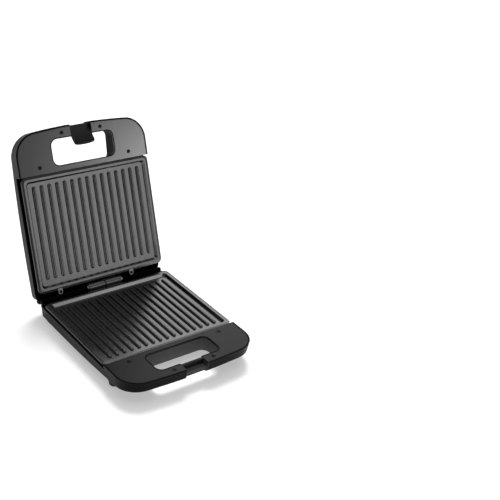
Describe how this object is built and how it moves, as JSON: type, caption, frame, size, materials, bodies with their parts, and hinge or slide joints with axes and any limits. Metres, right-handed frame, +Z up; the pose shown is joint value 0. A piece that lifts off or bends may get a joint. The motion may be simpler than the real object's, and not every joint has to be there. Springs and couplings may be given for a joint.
{
  "type": "panini press",
  "caption": "Two-plate contact grill with a hinged lid, ribbed non-stick plates, loop handles and a fold-out latch.",
  "frame": {"origin": "centre of the resting part's footprint box, on the table under the four feet", "axes": "+Z up, +X to the user's right, +Y from the handle towards the hinge"},
  "size_m": [0.236, 0.384, 0.285],
  "materials": {
    "black_plastic": "satin black moulded thermoset",
    "inner_plastic": "matt dark grey moulded plastic",
    "nonstick": "dark grey non-stick coating on die-cast aluminium, satin",
    "heater_steel": "dull steel tube",
    "sheet_aluminium": "plain aluminised sheet",
    "foot_rubber": "matt black",
    "hinge_metal": "glossy black",
    "pin_steel": "drawn steel",
    "ceramic_white": "matt ceramic",
    "bushing_rubber": "matt black",
    "thermostat_steel": "plated",
    "brushed_strip": "lengthwise brushed, bright",
    "bezel_plastic": "glossy dark",
    "lens_green": "translucent green",
    "lens_red": "translucent red",
    "holder_plastic": "natural nylon",
    "latch_plastic": "matt black"
  },
  "bodies": {
    "base": {"base_shell": "black_plastic", "base_handle_cover": "inner_plastic", "lower_plate": "nonstick", "lower_heater": "heater_steel", "lower_heat_shield": "sheet_aluminium", "foot_front_left": "foot_rubber", "foot_front_right": "foot_rubber", "foot_rear_left": "foot_rubber", "foot_rear_right": "foot_rubber", "base_hinge_half": "hinge_metal", "hinge_pin": "pin_steel", "terminal_block": "ceramic_white", "cord_bushing": "bushing_rubber"},
    "lid": {"lid_shell": "black_plastic", "lid_handle_cover": "inner_plastic", "upper_plate": "nonstick", "upper_heater": "heater_steel", "upper_heat_shield": "sheet_aluminium", "thermostat": "thermostat_steel", "trim_strip": "brushed_strip", "lamp_bezel": "bezel_plastic", "lamp_lens_green": "lens_green", "lamp_lens_red": "lens_red", "lamp_holder": "holder_plastic", "lid_hinge_half": "hinge_metal", "latch_pin": "pin_steel"},
    "latch": {"latch": "latch_plastic"}
  },
  "joints": [
    {"name": "lid_hinge", "type": "hinge", "parent": "base", "child": "lid", "pos_m": [0, 0.07477, 0.036], "axis": [1, 0, 0], "range_deg": [0, 111]},
    {"name": "latch_pivot", "type": "hinge", "parent": "lid", "child": "latch", "pos_m": [0, 0.18264, 0.27095], "axis": [-1, 0, 0], "range_deg": [0, 76]}
  ]
}
